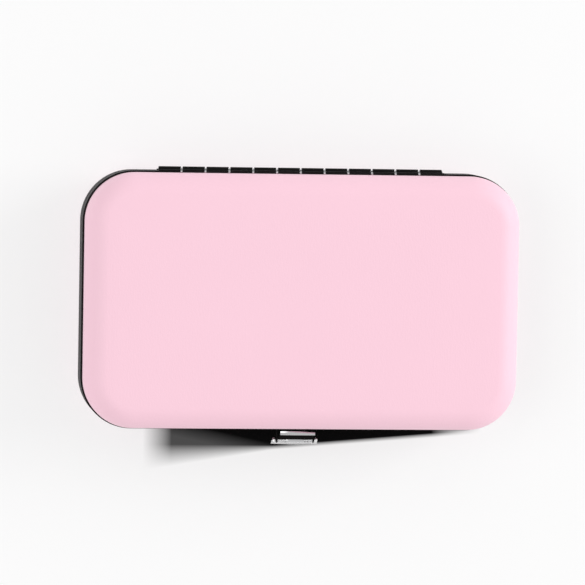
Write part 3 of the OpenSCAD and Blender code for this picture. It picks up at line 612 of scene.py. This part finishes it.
# Floor, light and camera
# A pale floor with a dark wedge painted beside the clasp, one broad key from the upper right, a
# weaker fill from the left, and a pale studio round them.
bm = bmesh.new()
bmesh.ops.create_grid(bm, x_segments=1, y_segments=1, size=3)
floor_mesh = bpy.data.meshes.new("floor")
bm.to_mesh(floor_mesh)
bm.free()
floor = bpy.data.objects.new("floor", floor_mesh)
bpy.context.scene.collection.objects.link(floor)
paper, tree, surface = shader("floor_paper", (0.94, 0.935, 0.93), rough=0.8)
surface.inputs["Specular IOR Level"].default_value = 0.1
floor_mesh.materials.append(paper)
floor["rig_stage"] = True


def beyond_line(tree, axes, line_x, line_y, slope):
    """How far +Y of a line each point lies. The line goes through a point and falls by slope along X."""
    along_x = math_node(tree, "ADD", axes["X"], -line_x)
    return math_node(tree, "MULTIPLY_ADD", along_x, slope, math_node(tree, "ADD", axes["Y"], -line_y))


# The photographed case appears to stand on its clasp edge, with a black contact shadow under it.
# Here the case lies, so that shadow is painted: the paper is dark in a wedge beside the clasp. It
# isn't cast by anything and doesn't move with the lid. With a shade of 0 the floor is plain.
wedge_left, wedge_right = -37 * mm, 47 * mm
wedge_y, wedge_rise = -44.7 * mm, 0.0812
left_soft, right_soft = 8 * mm, 14 * mm
# the lower edge is softer towards the left, by this much for each metre
soft_gain, soft_at_middle, soft_least = -0.17, 0.4 * mm, 1.2 * mm
# how far the wedge reaches from its lower edge, in under the case
wedge_reach, reach_soft = 12 * mm, 4 * mm
# the wedge is quite black only above a line that leans the other way
core_x, core_y, core_fall = -29.2 * mm, -37.6 * mm, 0.217
core_soft, core_share = 4 * mm, 0.08

axes = object_axes(tree)
from_edge = beyond_line(tree, axes, wedge_left, wedge_y, -wedge_rise)
softness = math_node(tree, "MAXIMUM", math_node(tree, "MULTIPLY_ADD", axes["X"], soft_gain, soft_at_middle),
                     soft_least)
inner = math_node(tree, "ADD", math_node(tree, "DIVIDE", from_edge, softness), 0.5)
inner = math_node(tree, "MAXIMUM", math_node(tree, "MINIMUM", inner, 1.0), 0.0)
inner = math_node(tree, "MULTIPLY", inner, band_mask(tree, from_edge, -far, wedge_reach, reach_soft))
core = band_mask(tree, beyond_line(tree, axes, core_x, core_y, core_fall), 0, far, core_soft)
inner = math_node(tree, "MULTIPLY", inner, math_node(tree, "MULTIPLY_ADD", core, core_share, 1 - core_share))
ends = math_node(tree, "MULTIPLY", band_mask(tree, axes["X"], wedge_left, far, left_soft),
                 band_mask(tree, axes["X"], -far, wedge_right, right_soft))
shade = math_node(tree, "MULTIPLY", inner, ends)

# To camera and mirror rays part of the paper's white is its own, which keeps the studio as pale
# as the photo's. The rest answers to the lamps, so the floor keeps the object's shadow.
paper_white, own_share = 0.95, 0.6
own_white = own_share * paper_white
ray = tree.nodes.new("ShaderNodeLightPath")
seen = math_node(tree, "MAXIMUM", ray.outputs["Is Camera Ray"], ray.outputs["Is Glossy Ray"])
clear = math_node(tree, "SUBTRACT", 1.0, shade)
lit = math_node(tree, "MULTIPLY", clear, math_node(tree, "MULTIPLY_ADD", seen, -own_white, paper_white))
glow = math_node(tree, "MULTIPLY", clear, math_node(tree, "MULTIPLY", seen, own_white))
tree.links.new(lit, surface.inputs["Base Color"])
tree.links.new(glow, surface.inputs["Emission Strength"])
surface.inputs["Emission Color"].default_value = (1, 1, 1, 1)

lamps_aim = Vector((0, 0, 0.01))


def softbox(name, at, size, power):
    lamp = bpy.data.lights.new(name, "AREA")
    lamp.shape = "SQUARE"
    lamp.size = size
    lamp.energy = power
    box = bpy.data.objects.new(name, lamp)
    bpy.context.scene.collection.objects.link(box)
    box.location = at
    box.rotation_euler = (lamps_aim - Vector(at)).to_track_quat("-Z", "Y").to_euler()


softbox("key", at=(1.3, 0.35, 0.6), size=0.8, power=11.0)
softbox("fill", at=(-0.8, -0.1, 1.0), size=0.9, power=3.7)
world = bpy.data.worlds.new("studio")
bpy.context.scene.world = world
world.use_nodes = True
background = world.node_tree.nodes["Background"]
background.inputs["Color"].default_value = (1, 1, 1, 1)
background.inputs["Strength"].default_value = 0.72

# The camera looks from the photograph's viewing angle. The picture's right and up are given as
# directions in the frame.
camera = bpy.data.cameras.new("camera")
camera.sensor_width = 36
camera.lens = 268.92
camera.clip_start, camera.clip_end = 0.05, 20
eye_at = Vector((-0.155011, 0.077517, 1.201418))
right = Vector((0.991748, 0.017820, 0.126960))
upward = Vector((-0.009654, 0.997862, -0.064648))
upward = (upward - upward.dot(right) * right).normalized()
right = right.normalized()
turned = Matrix((right, upward, right.cross(upward))).transposed().to_4x4()
eye = bpy.data.objects.new("camera", camera)
bpy.context.scene.collection.objects.link(eye)
eye.matrix_world = Matrix.Translation(eye_at) @ turned
bpy.context.scene.camera = eye
bpy.context.scene.view_settings.view_transform = "Standard"

low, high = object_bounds()
